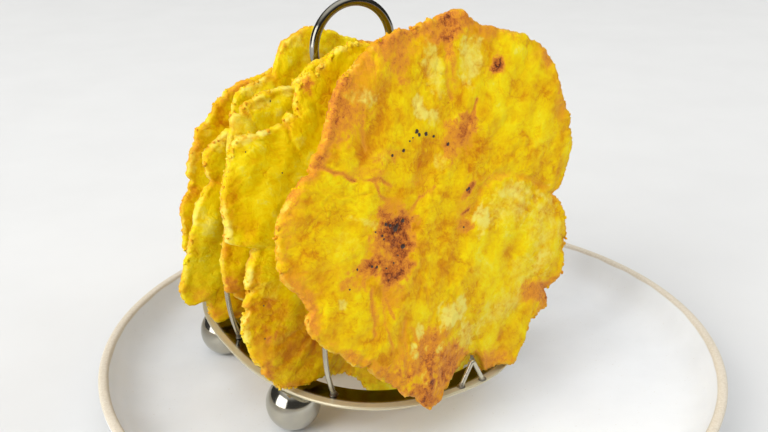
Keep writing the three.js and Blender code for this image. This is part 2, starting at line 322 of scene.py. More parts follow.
def plantain_material():
    """Fried plantain. The masks of a slice say how light its flesh is, with painted shade in its hollows and
    painted light in a few patches, and where it is browned or pale.
    """
    shader = Shader("fried_plantain", {
        "Subsurface Weight": 0.08, "Subsurface Scale": 3 * MM, "Subsurface Radius": (1.0, 0.55, 0.08),
        "Coat Weight": 0.04, "Coat Roughness": 0.2, "Specular IOR Level": 0.11,
    })
    fibres = shader.noise(0.55, 3.0, 0.6, place=shader.mask("fibre", "Vector"))
    grain = shader.noise(0.8, 3.0, 0.6)
    mottle = shader.noise(2.6, 3.0, 0.5, 0.4)
    blotch = shader.noise(6.5, 2.0, 0.5, 0.3)
    winding = shader.around(shader.noise(3.4, 2.5, 0.55, 0.9), 0.0, 1.0)
    winding = shader.node("ShaderNodeMath", winding, operation="ABSOLUTE").outputs[0]
    vein = shader.times(shader.step(winding, 0.10, 0.0), shader.step(blotch, 0.42, 0.62))
    pushed = shader.warped(4.5, 4.5)
    flakes = shader.cells(6.0, "F1", pushed)
    seams = shader.step(shader.cells(6.0, "DISTANCE_TO_EDGE", pushed), 0.08, 0.0)
    seams = shader.times(seams, shader.step(shader.noise(11.0, 2.0), 0.45, 0.66))

    tone = shader.mask("tone")
    for source, swing in ((blotch, 0.26), (mottle, 0.26), (grain, 0.14), (fibres, 0.22)):
        tone = shader.plus(tone, shader.around(source, 0.0, swing))
    tone = shader.plus(tone, vein, -0.16)
    tone = shader.plus(tone, shader.around(flakes, -0.02, -0.15))
    tone = shader.plus(tone, seams, -0.10)
    flesh = shader.ramp(tone, (0.0, 192, 112, 6), (0.24, 210, 148, 3), (0.46, 224, 181, 2),
                        (0.66, 231, 201, 3), (0.84, 233, 211, 20), (1.0, 230, 213, 70))
    pale = shader.times(shader.mask("pale"), shader.around(mottle, 1.0, 1.1))
    pale = shader.step(shader.plus(pale, shader.around(grain, 0.0, 0.22)), 0.12, 1.0)
    flesh = shader.mix(pale, flesh, colour(230, 213, 98))

    browned = shader.mask("browned")
    for source, swing in ((shader.noise(1.4, 4.0, 0.65), 0.60), (shader.noise(0.5, 2.0), 0.45)):
        browned = shader.times(browned, shader.around(source, 1.0, swing))
    browned = shader.plus(browned, vein, shader.times(browned, 0.35))
    browned = shader.times(browned, shader.plus(1.0, pale, -0.8))
    crust = shader.ramp(browned, (0.10, 228, 172, 18), (0.28, 222, 154, 34), (0.46, 208, 132, 42),
                        (0.64, 178, 98, 38), (0.82, 124, 62, 30), (1.0, 72, 36, 22))
    shader.use("Base Color", shader.mix(shader.step(browned, 0.05, 0.36), flesh, crust))
    shader.use("Roughness", shader.around(shader.noise(2.4, 3.0), 0.40, 0.16))
    relief = mottle
    for source, share in ((grain, 0.5), (fibres, 0.45), (vein, -0.2), (flakes, -0.7), (seams, -0.3)):
        relief = shader.plus(relief, source, share)
    shader.bump(relief, 0.31, 0.75)
    return shader.material


def seed_material():
    shader = Shader("plantain_seed", {"Roughness": 0.35, "Coat Weight": 0.2})
    shader.use("Base Color", shader.between(shader.noise(0.6), (26, 14, 10), (74, 42, 24)))
    shader.bump(shader.noise(0.3), 0.1)
    return shader.material


def steel_material():
    """Polished steel, painted pale and dull where its edge mask is 1 as a painted reflection of the plate and
    light, painted dark on the band's inside and on the ring as a painted reflection of the dim room, and dull
    at its welds.
    """
    shader = Shader("polished_steel", {})
    clean = shader.between(shader.noise(9.0, 3.0), (174, 172, 163), (192, 187, 172))
    # Painted pale reflection of the plate and light, where the edge mask is 1.
    painted_pale_reflection = shader.times(shader.mask("edge"), shader.around(shader.noise(2.0, 4.0), 0.9, 0.12))
    clean = shader.mix(painted_pale_reflection, clean, colour(206, 197, 166))
    # Painted dark reflection of the dim room, on the band's inside and on the ring.
    clean = shader.mix(shader.mask("smoke"), clean, colour(86, 85, 82))
    burnt = shader.times(shader.mask("weld"), shader.around(shader.noise(0.8), 0.75, 0.35))
    shader.use("Base Color", shader.mix(burnt, clean, colour(104, 96, 84)))
    shader.use("Metallic", shader.plus(1.0, painted_pale_reflection, -0.55))
    worn = shader.around(shader.noise(1.5, 4.0, 0.7), 0.13, 0.06)
    worn = shader.plus(worn, painted_pale_reflection, 0.2)
    shader.use("Roughness", shader.plus(worn, shader.mask("weld"), 0.22))
    shader.bump(shader.noise(1.2, 2.0), 0.015, 0.5)
    return shader.material


def stoneware_material():
    """A satin off-white glaze with faint specks, and bare tan clay where the clay mask is 1."""
    shader = Shader("stoneware", {"Specular IOR Level": 0.45})
    bare = shader.mask("clay")
    glaze = shader.between(shader.noise(22.0, 3.0), (224, 226, 228), (230, 232, 234))
    specks = shader.times(shader.step(shader.noise(0.8, 1.0), 0.73, 0.80), 0.35)
    glaze = shader.mix(specks, glaze, colour(186, 172, 150))
    grain = shader.noise(0.7, 4.0, 0.7)
    clay = shader.between(grain, (194, 182, 162), (216, 208, 192))
    shader.use("Base Color", shader.mix(bare, glaze, clay))
    shader.use("Roughness", shader.plus(shader.around(shader.noise(5.0, 2.0), 0.34, 0.06), bare, 0.45))
    shader.bump(shader.plus(shader.times(bare, grain), shader.noise(6.0, 2.0), 0.25), 0.2, 0.5)
    return shader.material


def floor_material():
    shader = Shader("pale_floor", {"Roughness": 0.75})
    shader.use("Base Color", shader.between(shader.noise(60.0), (214, 214, 213), (217, 217, 216)))
    return shader.material


# ---------------------------------------------------------------- the slices

# Each slice is a slab that stands at row (along the row from its middle, at the band's height) and
# leans back, as its CAD solid does. corners [across, up] are its outline: across from the middle of
# the row, and up along the slab from the top of the band. bend holds the slab's slow waves: depth,
# waves across, waves up, phase. curl holds local dents: across, up, size, depth.
# The heart is the place that the outline is drawn from, and grain the one that the fibres run out from.
# ragged is the height of the rim's waves, detail the number of grid steps from the heart to the rim,
# tone how light the flesh is before painted shade deepens its hollows, and crumbs the number of clusters of
# crumbs in the rim.
# Marks are patches: across, up, half width, half height, tilt in degrees, strength. Those of tones make
# the flesh lighter or, below 0, deeper, and a few of them are painted light that lifts flesh lying in shade.
# A crease is a line of points with its depth, width and browning, a notch is a place on the rim with its
# depth and width, and a seed is a place with its radius.
SLICES = [dict(
    name="tostone_1", row=-71.6, lean=13.4, turn=4, thickness=6.4, ragged=0.5, seed=1, heart=(-4, 60),
    tone=0.55, grain=(-20, 62), detail=92, rim_browned=0.12, crumbs=70,
    corners=[
        (8, 122.5), (-2, 120), (-18, 117.5), (-29, 111), (-37, 104), (-42, 94), (-57, 77), (-63, 68),
        (-63, 55), (-57, 44), (-59, 39), (-55, 32), (-41, 20), (-29, 8), (-24, 4), (-19, -1.5), (-12, 0.6),
        (-8, 4.5), (2.5, 10), (6.5, 8), (9, 2), (15, 1.6), (21.8, 0.6), (25.3, 5.5), (29.5, 13), (37.5, 17.5),
        (39, 23), (45.5, 27), (48.5, 38), (49, 49), (47, 56), (56, 74), (52, 94), (50, 103), (43, 110),
        (32, 113.5), (20, 118), (14, 123),
    ],
    bend=[(0.9, 0.045, 0.02, 0.4), (0.6, -0.03, 0.06, 2.1)],
    curl=[(9, 8, 15, 3.2), (-18, -2, 9, -0.6)],
    browned=[
        (6, 119, 14, 6, 0, 0.34), (12, 117, 6, 5, 0, 0.26), (8, 121, 5, 2.5, 0, 0.3),
        (-12, 115, 14, 6, 0, 0.28), (-27, 106, 16, 9, 35, 0.22), (-38, 97, 12, 8, 50, 0.26),
        (-46, 87, 8, 5, 45, 0.3), (-33, 96, 4, 8, 0, 0.22), (6.5, 106, 2.2, 10, 4, 0.3),
        (-12, 106, 2.5, 9, 0, 0.24), (25, 103.5, 3, 2.6, 20, 0.66), (26, 103, 5, 4, 0, 0.2),
        (20, 104, 1.6, 8, 0, 0.18), (6, 84, 8, 6, 20, 0.4), (9, 86, 5, 2.5, 40, 0.38), (2, 79, 6, 4, 0, 0.24),
        (-23.5, 60.5, 7, 5.5, 0, 0.58), (-24, 61, 3.5, 2.5, 0, 0.45), (-22, 55, 5, 5, 0, 0.4),
        (-26, 50, 7.5, 4, 0, 0.48), (-36, 51, 6, 3, 0, 0.5), (-25, 55, 12, 13, 0, 0.25),
        (-41, 47.5, 5, 3, 0, 0.28), (-29, 46, 5, 3, 0, 0.36), (-27, 41, 6, 6, 0, 0.22),
        (-23, 68, 5, 4, 30, 0.26), (-58, 50, 5, 9, 0, 0.24), (-46, 54, 7, 6, 0, 0.16),
        (-58, 70, 4, 10, -25, 0.18), (-18, 17, 9, 10, 0, 0.5), (-20, 4, 9, 5, 0, 0.58),
        (-9, 11, 9, 7, 0, 0.52), (-28, 22, 4, 7, 0, 0.22), (10, 6, 9, 5, -10, 0.38), (31, 25, 7, 5, 0, 0.42),
        (39, 24, 6, 4, 0, 0.32), (36, 19, 5, 3, 40, 0.26), (-44, 25, 10, 3, -40, 0.26),
        (-33, 14, 8, 3.5, -45, 0.3), (46, 103, 3, 4, 0, 0.26), (50, 86, 3, 8, 0, 0.22),
        (20, 67.5, 9, 1.6, -6, 0.24), (7.5, 66.5, 4, 1.2, 35, 0.6), (5, 59.2, 2.4, 0.9, 20, 0.6),
        (3.6, 55, 3, 2.4, 0, 0.42), (5, 61, 6, 7, 0, 0.2), (-20, 82, 8, 2, -8, 0.3),
        (-30, 79, 9, 3, -12, 0.24), (-36, 37, 2, 7, 4, 0.26), (-12, 73, 6, 3, 0, 0.19),
        (23, 113, 6, 3, -15, 0.22), (-56, 40, 3, 4, 0, 0.22),
    ],
    pale=[
        (-30, 102, 6, 4.5, 0, 0.4), (0, 106, 4.5, 9, 5, 0.5), (14, 107, 5.5, 9, -6, 0.6),
        (-8, 95, 3, 4, 20, 0.7), (-3, 91, 3, 2.5, 0, 0.55), (-34, 65, 6, 1.5, -25, 0.45),
        (-46, 43, 2, 2, 0, 0.7), (-6, 28, 6.5, 4.5, 25, 0.85), (-20, 26, 2, 3, 0, 0.75),
        (-23, 21, 1.8, 2.5, 0, 0.65), (1, 18, 6, 5, 0, 0.5), (22, 57, 15, 6, 6, 0.42), (11, 55, 4, 5, 0, 0.6),
        (25, 62, 6, 4, 0, 0.42), (36, 46, 8, 12, 0, 0.4), (16, 23, 9, 6, 0, 0.42), (-3, 77, 3, 3, 0, 0.38),
        (-14, 14, 2.4, 5, 10, 0.5), (-20, 11, 1.8, 4, 0, 0.5), (-26, 101, 3, 2, 0, 0.4),
        (28, 34, 10, 6, 10, 0.34), (-42, 60, 6, 5, 0, 0.24), (8, 40, 6, 4, 0, 0.25), (38, 74, 7, 5, 0, 0.18),
        (-12, 19, 2.6, 1.6, 30, 0.55), (-9, 8, 1.8, 2.6, 20, 0.45), (-18, 20, 2, 2.6, 10, 0.6),
        (-6, 14, 2.2, 1.6, 0, 0.45), (3, 9, 2.6, 1.6, 0, 0.45), (-16, 6, 1.8, 1.4, 0, 0.4),
    ],
    tones_and_painted_light=[
        (-30, 99, 18, 13, 40, -0.26), (0, 74, 26, 8, 0, -0.2), (-10, 47, 14, 10, 0, -0.2),
        (-54, 52, 9, 14, 0, -0.18), (-34, 30, 9, 14, 0, -0.12), (30, 92, 16, 18, 0, 0.1),
        (20, 42, 22, 18, 0, 0.14), (-10, 112, 20, 8, 0, -0.18), (-36, 70, 14, 5, 0, 0.08),
        (-24, 58, 12, 14, 0, -0.16), (6, 84, 12, 9, 0, -0.16), (-18, 14, 16, 16, 0, -0.16),
    ],
    creases=[
        (((-52, 82.5), (-46, 84), (-41.6, 82), (-38, 79.5), (-34.5, 78)), 0.45, 0.6, 0.46),
        (((-30.3, 76.9), (-26, 76), (-22, 73)), 0.25, 0.5, 0.42),
        (((-23, 66), (-27, 72), (-28, 77)), 0.2, 0.5, 0.4),
        (((-18, 63), (-12, 68), (-6, 70)), 0.2, 0.5, 0.36),
        (((-30, 46), (-31, 40), (-29, 34)), 0.25, 0.5, 0.42),
        (((-20, 48), (-16, 42), (-15, 34)), 0.2, 0.5, 0.2), (((10, 86), (13, 90), (15, 94)), 0.25, 0.5, 0.5),
        (((-16, 83), (-22, 84), (-27, 82)), 0.2, 0.5, 0.3),
        (((9, 60), (12, 65), (18, 68.5), (24, 68), (33, 64), (40, 59), (45, 56)), 0.45, 1.2, 0.2),
        (((-35.5, 44), (-36, 36), (-37, 30)), 0.3, 0.7, 0.4),
        (((-31.6, 44), (-32.4, 33), (-31, 24)), 0.25, 0.6, 0.3),
        (((-25.6, 31), (-26.3, 20), (-27, 11)), 0.35, 0.8, 0.3),
        (((6, 113), (4, 104), (5, 96)), 0.3, 1, 0.25), (((20, 113), (22, 105), (24, 96)), 0.3, 1.2, 0.1),
        (((-28, 99), (-30, 92), (-29, 86)), 0.25, 0.9, 0.35),
        (((-20, 24), (-14, 21), (-8, 22)), 0.3, 1, 0.25),
    ],
    notches=[
        (-50, 83, 2.4, 1.6), (-41, 20, 1.4, 0.9), (-30, 9, 1.2, 0.8), (-12, 1, 1.2, 0.7), (39, 22, 1.6, 0.9),
        (30, 14, 1, 0.8), (46, 56, 1.6, 1.3), (-6, 119, 1.4, 0.8), (17, 121, 1.6, 0.7), (48, 35, 0.8, 0.8),
        (-58, 42, 1.2, 0.8),
    ],
    seeds=[
        (-10.3, 87.8, 0.8), (-9.6, 86.7, 0.6), (-7, 86.4, 0.75), (-4, 85.2, 0.55), (-15.9, 83, 0.6),
        (-13.2, 85.4, 0.35), (-12, 86.2, 0.3), (0.8, 81.8, 0.6), (-26.6, 62.3, 0.65), (-25.1, 61.6, 0.6),
        (-23.3, 60.2, 1.1), (-22.3, 60.9, 0.7), (-20, 62, 0.7), (-28.6, 59.3, 0.55), (-28.3, 58.2, 0.4),
        (-21.5, 54.1, 0.95), (-34, 51.1, 0.5), (-32.6, 50.6, 0.55), (-39.2, 51.6, 0.45), (-26.2, 50.2, 0.4),
        (-29.3, 49.4, 0.4), (-24, 52, 0.35), (-30.8, 61, 0.4), (-43, 46.5, 0.35), (-20.3, 82.3, 0.5),
        (6.6, 66.4, 0.6), (5.8, 66, 0.5), (3, 54.4, 0.4),
    ],
), dict(
    name="tostone_2", row=-41, lean=7, turn=1, thickness=6.6, ragged=0.5, seed=2, heart=(-9, 46), tone=0.67,
    grain=(-9, 46), detail=88, rim_browned=0.06, crumbs=200,
    corners=[
        (-10, 110), (-23, 110), (-32, 104), (-38, 101), (-42, 92), (-50, 88), (-61, 86), (-66, 76), (-69, 64),
        (-69, 56), (-62, 52), (-64, 44), (-67, 28), (-66, 18), (-62, 8), (-56, 2), (-48, 1.2), (-36, 1),
        (-28, -4), (-18, -15), (-6, -19), (10, -19), (20, -14), (26, -4), (30.5, 2), (42, 10), (49, 22),
        (52, 42), (50, 64), (42, 84), (28, 100), (10, 108),
    ],
    bend=[(0.9, 0.05, 0.03, 1.3), (0.6, -0.02, 0.07, 0.2)],
    curl=[(-58, 12, 16, -1.2), (-62, 80, 14, 1)],
    browned=[
        (-38, 103, 3, 3, 0, 0.37), (-37, 99, 3, 3, 0, 0.26), (-57, 87, 5, 1.8, 0, 0.34),
        (-66.5, 37, 2, 3, 0, 0.5), (-67, 30, 2, 2, 0, 0.34), (-62, 8, 4, 4, -40, 0.38),
        (-56, 3, 7, 2.5, 0, 0.3), (-30, 95, 5, 12, 20, 0.14), (-42, 91, 2, 2, 0, 0.19),
        (-46, 22, 16, 14, 0, 0.1), (-62, 18, 4, 6, 0, 0.15), (-58, 33, 1, 1.4, -20, 0.37),
        (-60, 22, 0.8, 1.2, -20, 0.43), (-57, 23, 0.6, 1.4, -20, 0.37), (-66, 63, 2, 5, 0, 0.12),
    ],
    # The lighter patch at (-46, 72) is painted light: it lifts the flesh where the first slice shades it.
    tones_and_painted_light=[
        (-48, 16, 20, 20, 0, -0.42), (-60, 36, 8, 14, 0, -0.2), (-46, 72, 20, 16, 0, 0.1),
        (-52, 38, 14, 14, 0, 0.14),
    ],
    pale=[
        (-60, 86, 5, 2.2, 0, 0.6), (-50, 88, 4, 2, 25, 0.75), (-44, 91, 4, 2.2, 30, 0.7),
        (-38, 104, 4, 1.8, 20, 0.6), (-33, 105, 5, 2, 25, 0.5), (-24, 110, 8, 2, 10, 0.4),
        (-68, 60, 2, 6, 0, 0.55), (-64, 45, 2, 5, 0, 0.5), (-67, 26, 1.6, 8, 0, 0.45),
        (-57, 38, 5, 4, 0, 0.3), (-46, 34, 4, 5, 0, 0.26), (-52, 22, 10, 1.2, 12, 0.24),
        (-48, 15, 8, 1, 35, 0.22), (-40, 82, 3, 2, 0, 0.3),
    ],
    creases=[
        (((-43, 92), (-40, 93.5), (-35, 92), (-30, 89)), 0.5, 0.6, 0.1),
        (((-47, 90), (-44.7, 88), (-42.6, 81), (-41, 76)), 0.45, 0.6, 0.1),
        (((-65, 39), (-62.5, 39), (-60, 40.5)), 0.6, 0.5, 0.15),
        (((-63, 20), (-55, 19), (-47, 23)), 0.3, 1, 0), (((-58, 12), (-50, 14), (-42, 21)), 0.3, 1, 0.05),
        (((-52, 6), (-45, 12), (-38, 20)), 0.3, 1, 0.05), (((-62, 28), (-60, 22), (-60, 15)), 0.25, 0.8, 0.1),
    ],
    notches=[
        (-42, 93, 2.6, 0.9), (-46, 90, 1.4, 0.7), (-38, 101, 1.6, 0.8), (-63, 52, 2, 0.8),
        (-66, 38, 1.8, 0.7), (-68, 31, 1.6, 0.8), (-64, 12, 1.2, 0.7), (-33, 104, 1.2, 0.7),
        (-55, 87.5, 1.2, 0.6),
    ],
    seeds=[(-58.8, 82.1, 0.28), (-48.3, 73.9, 0.28), (-59.8, 33.4, 0.3), (-61, 22.8, 0.3)],
), dict(
    name="tostone_3", row=-13, lean=4, turn=-1, thickness=6.2, ragged=0.6, seed=3, heart=(-5, 42), tone=0.71,
    grain=(-5, 42), detail=72, rim_browned=0.09, crumbs=60,
    corners=[
        (-8, 102), (-22, 99), (-31, 93), (-42, 91), (-52, 86), (-54, 78), (-55, 66), (-60, 43), (-62, 34),
        (-60, 24), (-51, 19), (-47, 9), (-42, -3), (-31, -15), (-16, -19), (4, -19), (20, -15), (31, -7),
        (37.5, 3), (45, 9), (53, 24), (55, 42), (52, 62), (44, 80), (29, 94), (10, 101),
    ],
    bend=[(1.2, 0.055, 0.02, 2.2), (0.7, 0.03, -0.06, 1.1)],
    curl=[(-56, 34, 12, -1.4), (-48, 78, 12, -1)],
    browned=[
        (-44, 76, 5, 4, 0, 0.15), (-36, 82, 10, 5, 0, 0.12), (-52, 30, 6, 8, 0, 0.19),
        (-60, 27, 3, 4, 0, 0.25),
    ],
    tones_and_painted_light=[(-55, 35, 10, 20, 0, -0.3)],
    pale=[
        (-50, 83, 5, 5, -40, 0.4), (-41, 88, 5, 2.5, 0, 0.45), (-30, 92, 6, 2, 20, 0.4),
        (-56, 72, 3, 8, 0, 0.35), (-58, 52, 3, 6, 0, 0.3),
    ],
    creases=[
        (((-51, 90), (-49.9, 89.7), (-46.5, 84.6), (-43.4, 79), (-40, 75)), 0.7, 0.8, 0.12),
        (((-45, 87), (-38, 89), (-30, 90)), 0.4, 0.9, 0.05),
    ],
    notches=[(-50.5, 87, 2, 0.8), (-30, 93, 1.4, 0.9), (-59, 24, 1.5, 0.9)],
    seeds=[(-38.5, 88.4, 0.28)],
), dict(
    name="tostone_4", row=13, lean=4.5, turn=1, thickness=6.4, ragged=0.6, seed=4, heart=(-8, 42), tone=0.72,
    grain=(-8, 42), detail=72, rim_browned=0.09, crumbs=60,
    corners=[
        (10, 99.5), (0, 103.5), (-12, 105), (-19, 101), (-25, 92), (-40, 85), (-44, 75), (-55, 66), (-55, 56),
        (-61, 47), (-65, 32), (-68, 16), (-65, 10), (-60, 10), (-57, 2), (-49, 1.2), (-43.5, -2), (-34, -14),
        (-16, -19.5), (5, -19.5), (20, -15), (31, -7), (37, 3), (45, 10), (51, 24), (51, 45), (46, 66),
        (36, 84), (23, 95),
    ],
    bend=[(1.4, 0.06, 0.02, 0.9), (0.7, -0.02, 0.06, 0.6)],
    curl=[(-58, 40, 12, -1.8), (-60, 18, 12, 1)],
    browned=[(-14, 96, 8, 6, 0, 0.1), (-60, 14, 4, 4, 0, 0.22), (-55, 6, 6, 3, 0, 0.19)],
    # The lighter patch at (-58, 34) is painted light on the slice's left side, where the key light falls.
    tones_and_painted_light=[(-50, 10, 12, 16, 0, -0.25), (-58, 34, 10, 16, 0, 0.16)],
    pale=[
        (-15, 101, 6, 3, 20, 0.4), (-8, 94, 5, 8, 0, 0.4), (-48, 70, 5, 3, 40, 0.4), (-58, 45, 3, 6, 0, 0.4),
        (-33, 86, 6, 2.5, 30, 0.4),
    ],
    creases=[
        (((-27, 90), (-22, 84), (-20, 76)), 0.6, 1.4, 0.05),
        (((-48, 70), (-42, 66), (-38, 60)), 0.6, 1.4, 0.05),
    ],
    notches=[(-25, 92, 2, 1.4), (-44, 75, 2, 1.4), (-56, 56, 1.8, 1.2), (-63, 10, 1.6, 0.9)],
    seeds=[],
), dict(
    name="tostone_5", row=38, lean=4.5, turn=0, thickness=6.2, ragged=0.6, seed=5, heart=(-2, 36), tone=0.62,
    grain=(-2, 36), detail=68, rim_browned=0.1, crumbs=50,
    corners=[
        (-10, 86), (-26, 83), (-34, 80), (-41, 71), (-49, 63), (-53, 52), (-52, 45), (-56, 37), (-56, 20),
        (-51, 9), (-44, 3), (-35, 0.6), (-30, -6), (-22, -15), (-8, -19), (8, -18), (17, -11), (23, -3),
        (30, 3), (45, 11), (53, 24), (55, 42), (50, 62), (40, 76), (24, 84), (6, 88),
    ],
    bend=[(1.3, 0.055, 0.03, 3), (0.6, 0.02, 0.06, 1.9)],
    curl=[(-48, 50, 12, -1.4)],
    browned=[(-30, 80, 10, 4, 15, 0.19), (-46, 62, 4, 8, -30, 0.12)],
    tones_and_painted_light=[],
    pale=[(-50, 56, 3, 6, 0, 0.35), (-44, 68, 3, 4, 30, 0.35)],
    creases=[(((-46, 66), (-42, 58), (-40, 50)), 0.5, 1.4, 0)],
    notches=[(-36, 79, 1.6, 1), (-49, 63, 1.4, 1), (-53, 48, 1.4, 1)],
    seeds=[],
)]

band_low, band_high = node_box("rack_band")
BAND_TOP = band_high[2]
ROW_FROM_BAND = (5.7, 2.8)             # middle of the row of slices, from the band's middle
ROW_X, ROW_Y = (band_low + band_high)[:2] / 2 + ROW_FROM_BAND
RAGGED_WAVES = (7, 11, 17, 23)
RIM_THINNING = 0.35                    # share of its thickness that a slice loses towards its rim
RIM_INSET = 0.35                       # keeps the torn rim inside the CAD solid
EDGE = 1.3                             # width of the rounded rim
EDGE_STEPS = 5
FRONT, BACK = -1, 1
HIDDEN_FROM = 14                       # right of a slice's heart by this, the slice before it hides it
CRUMB_INSET = 0.6                      # keeps the rim's crumbs between the two faces
SEED_SHAPE = np.array([0.88, 0.308, 1.012])   # a seed lies flat on the face


def slab_depth(piece, across, up):
    """How far the slab's middle stands back from its flat plane, as in the CAD solid."""
    depth = sum(h * np.sin(a * across + u * up + phase) for h, a, u, phase in piece["bend"])
    for centre_across, centre_up, size, height in piece["curl"]:
        depth += height * np.exp(-((across - centre_across) ** 2 + (up - centre_up) ** 2) / size ** 2)
    return depth


def placed(piece, across, depth, up):
    """Slab coordinates as points of the part's frame."""
    lean, turn = math.radians(piece["lean"]), math.radians(piece["turn"])
    back = depth * math.cos(lean) + up * math.sin(lean)
    height = up * math.cos(lean) - depth * math.sin(lean)
    return np.stack([ROW_X + across * math.cos(turn) - back * math.sin(turn),
                     ROW_Y + piece["row"] + across * math.sin(turn) + back * math.cos(turn),
                     BAND_TOP + GAP + height], axis=-1)


class Outline:
    """A slice's rim as a reach from its heart in each direction: the CAD line with finer raggedness."""

    STEPS = 4096

    def __init__(self, piece):
        self.heart = np.array(piece["heart"], float)
        line = closed_curve(piece["corners"], self.STEPS) - self.heart
        turn = 2 * np.pi * np.arange(self.STEPS) / self.STEPS
        reach = np.linalg.norm(line, axis=1)
        for waves in RAGGED_WAVES:
            reach += piece["ragged"] * np.sin(waves * (turn + 1.7 * piece["seed"])) / math.sqrt(waves)
        angle = np.unwrap(np.arctan2(line[:, 1], line[:, 0]))
        self.angles = np.linspace(-np.pi, np.pi, self.STEPS, endpoint=False)
        self.calm = np.interp(self.angles, angle, reach, period=2 * np.pi)
        place = np.stack([np.cos(self.angles) * self.calm, np.sin(self.angles) * self.calm,
                          np.full(self.STEPS, 9.0 * piece["seed"])], 1)
        torn = layers(place, 1, (0.80, 8.0), (0.35, 3.1), (0.22, 1.4), (0.26, 0.8))
        torn -= 0.9 * smooth(noise(place, 3.6, 5), 0.30, 0.65)
        self.full = self.calm + torn - RIM_INSET
        for across, up, deep, wide in piece["notches"]:
            offset = np.array([across, up]) - self.heart
            off = np.angle(np.exp(1j * (self.angles - math.atan2(offset[1], offset[0]))))
            self.full -= deep * np.exp(-np.abs(off * self.calm / wide) ** 1.6)

    def reach(self, angle, share):
        """Reach in that direction. The raggedness fades away from the rim, where share is 1."""
        calm = np.interp(angle, self.angles, self.calm, period=2 * np.pi)
        full = np.interp(angle, self.angles, self.full, period=2 * np.pi)
        return calm + (full - calm) * share ** 5

    def spot(self, angle, reach):
        """The place across and up that lies at that reach from the heart."""
        return self.heart[0] + reach * np.cos(angle), self.heart[1] + reach * np.sin(angle)


def disc_grid(detail):
    """A square grid bent into a disc: directions, shares of the reach, quads, and the rim in order."""
    steps = np.arange(-detail, detail + 1)
    i, j = (v.ravel().astype(float) for v in np.meshgrid(steps, steps, indexing="ij"))
    wide = np.abs(i) >= np.abs(j)
    size = np.where(wide, i, j)
    divisor = np.where(size == 0, 1, size)
    turn = np.where(wide, np.pi / 4 * j / divisor, np.pi / 2 - np.pi / 4 * i / divisor)
    angle = np.arctan2(size * np.sin(turn), size * np.cos(turn))
    width = len(steps)
    corner = (np.arange(width - 1)[:, None] * width + np.arange(width - 1)).ravel()
    quads = np.stack([corner, corner + width, corner + width + 1, corner + 1], 1)
    rim = np.flatnonzero(np.abs(size) == detail)
    return angle, np.abs(size) / detail, quads, rim[np.argsort(angle[rim])]


def cover(points, patches, seed, border=(1.5, 0.2)):
    """How strongly patches cover points [across, up]. They fade out across a frayed border."""
    spread = np.column_stack([points, np.full(len(points), 5.0 * seed)])
    fray = layers(spread, 21, (0.4, 5.0), (0.34, 2.0), (0.24, 1.0))
    bare = np.ones(len(points))
    for across, up, wide, high, tilt, strength in patches:
        offset = points - (across, up)
        turn = math.radians(tilt)
        along = offset[:, 0] * math.cos(turn) + offset[:, 1] * math.sin(turn)
        beside = offset[:, 1] * math.cos(turn) - offset[:, 0] * math.sin(turn)
        bare *= 1 - strength * smooth(np.hypot(along / wide, beside / high) + fray, *border)
    return 1 - bare


def near_line(points, line, width):
    """1 on a line through points [across, up], fading to 0 beside it."""
    closest = np.full(len(points), np.inf)
    for start, end in zip(line[:-1], line[1:]):
        start, end = np.array(start, float), np.array(end, float)
        along = np.clip((points - start) @ (end - start) / ((end - start) @ (end - start)), 0, 1)
        closest = np.minimum(closest, np.linalg.norm(points - start - along[:, None] * (end - start), axis=1))
    return np.exp(-(closest / width) ** 2)


def hidden_marks(piece, outline, side):
    """Marks for a face that doesn't show: browned near the rim and in the middle, pale here and there."""
    rng = np.random.default_rng(100 * piece["seed"] + side)

    def spot(low, high):
        angle = rng.uniform(-np.pi, np.pi)
        return outline.spot(angle, outline.reach(angle, 0) * rng.uniform(low, high))

    def patches(count, shares, sizes, strengths):
        """Patches at a share of the reach, with half sizes and a strength, each out of its range."""
        return [(*spot(*shares), *rng.uniform(*sizes, 2), rng.uniform(0, 180), rng.uniform(*strengths))
                for _ in range(count)]

    browned = patches(12, (0.86, 1.0), (3, 9), (0.2, 0.5))
    browned += patches(4, (0.0, 0.2), (2, 6), (0.3, 0.6))
    browned += patches(10, (0.2, 0.85), (2, 9), (0.12, 0.3))
    pale = patches(16, (0.1, 0.95), (2, 9), (0.25, 0.7))
    creases = []
    for _ in range(7):
        far, near = spot(0.9, 1.0), spot(0.35, 0.6)
        middle = tuple(np.add(far, near) / 2 + rng.uniform(-4, 4, 2))
        creases.append(((far, middle, near), rng.uniform(0.25, 0.6), rng.uniform(0.6, 1.2),
                        rng.uniform(0.0, 0.3)))
    seeds = [(*spot(0.02, 0.3), rng.uniform(0.3, 0.9)) for _ in range(12)]
    tones_and_painted_light = patches(8, (0.1, 0.9), (8, 20), (-0.3, 0.15))
    return dict(browned=browned, pale=pale, creases=creases, seeds=seeds, tones_and_painted_light=tones_and_painted_light)


def shown_marks(piece, outline):
    """The marks of a front face: its own, and made up ones where the slice before it hides it."""
    marks = {kind: list(piece[kind]) for kind in ("browned", "pale", "creases", "seeds", "tones_and_painted_light")}
    if piece is not SLICES[0]:
        unseen = hidden_marks(piece, outline, FRONT)
        right = piece["heart"][0] + HIDDEN_FROM
        for kind in ("browned", "pale", "seeds"):
            marks[kind] += [mark for mark in unseen[kind] if mark[0] > right]
        marks["creases"] += [mark for mark in unseen["creases"] if min(p[0] for p in mark[0]) > right]
    return marks


def noise_place(piece, flat, side):
    """Points [across, up] of one face as points for noise, far from those of every other face."""
    return np.column_stack([flat, np.full(len(flat), 40.0 * side + 90.0 * piece["seed"])])


def pushed(flat, spread, reach, size, seed):
    """Points [across, up] pushed about by noise, each by about reach at the most."""
    return flat + reach * np.stack([noise(spread, size, seed), noise(spread, size, seed + 1)], 1)


def half_thickness(piece, share):
    """Half of a slice's thickness at that share of the reach from its heart to its rim."""
    return piece["thickness"] / 2 * (1 - RIM_THINNING * share ** 3)


